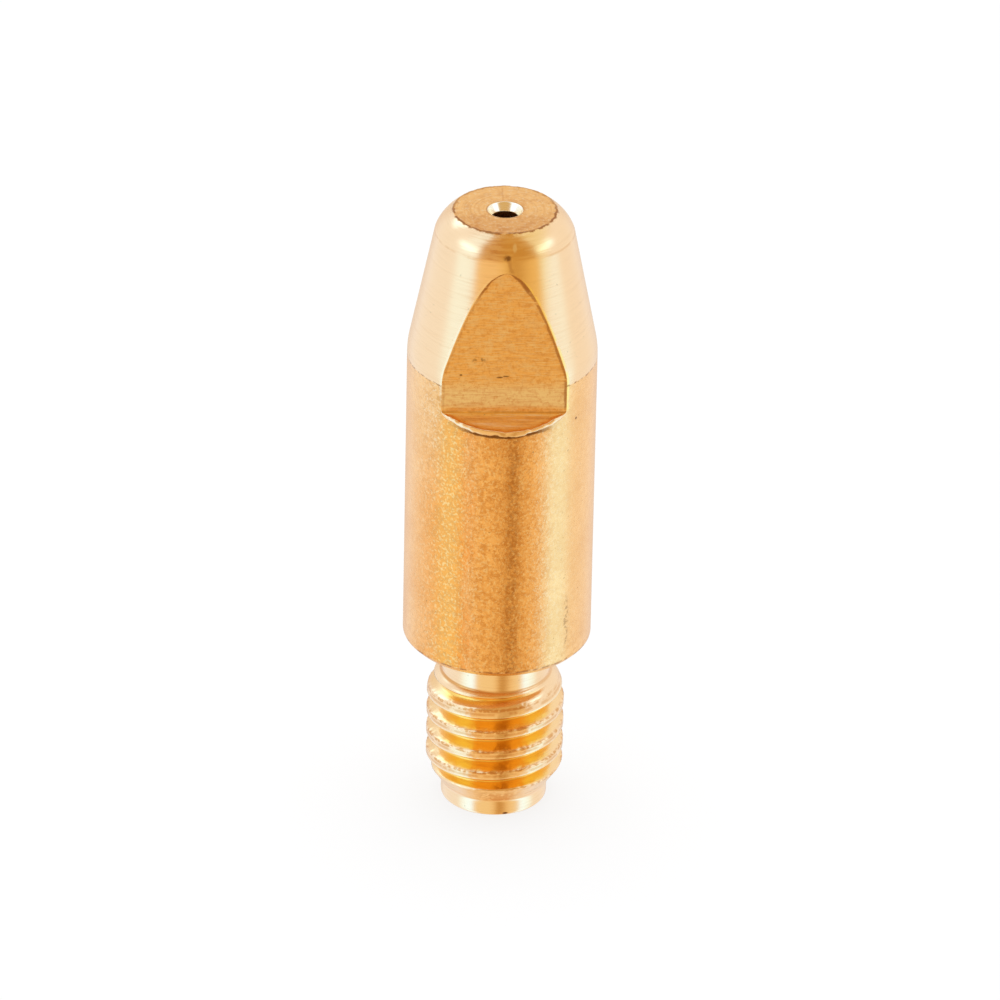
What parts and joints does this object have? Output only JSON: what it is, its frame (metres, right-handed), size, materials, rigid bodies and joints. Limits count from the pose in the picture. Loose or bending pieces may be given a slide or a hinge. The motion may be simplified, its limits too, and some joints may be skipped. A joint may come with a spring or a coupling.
{
  "type": "welding contact tip",
  "caption": "Turned copper contact tip for a wire-feed welding torch: threaded end, round body, tapered nose with wrench flats and a wire bore right through.",
  "frame": {"origin": "centre of the threaded end face, on which the tip stands", "axes": "+Z along the wire towards the nose; the wrench flats face -Y and +Y; +X to the right of the front flat"},
  "size_m": [0.008, 0.008, 0.028],
  "materials": {
    "copper": "bare drawn bar, turned and milled"
  },
  "bodies": {
    "root": {"contact_tip": "copper"}
  },
  "joints": []
}
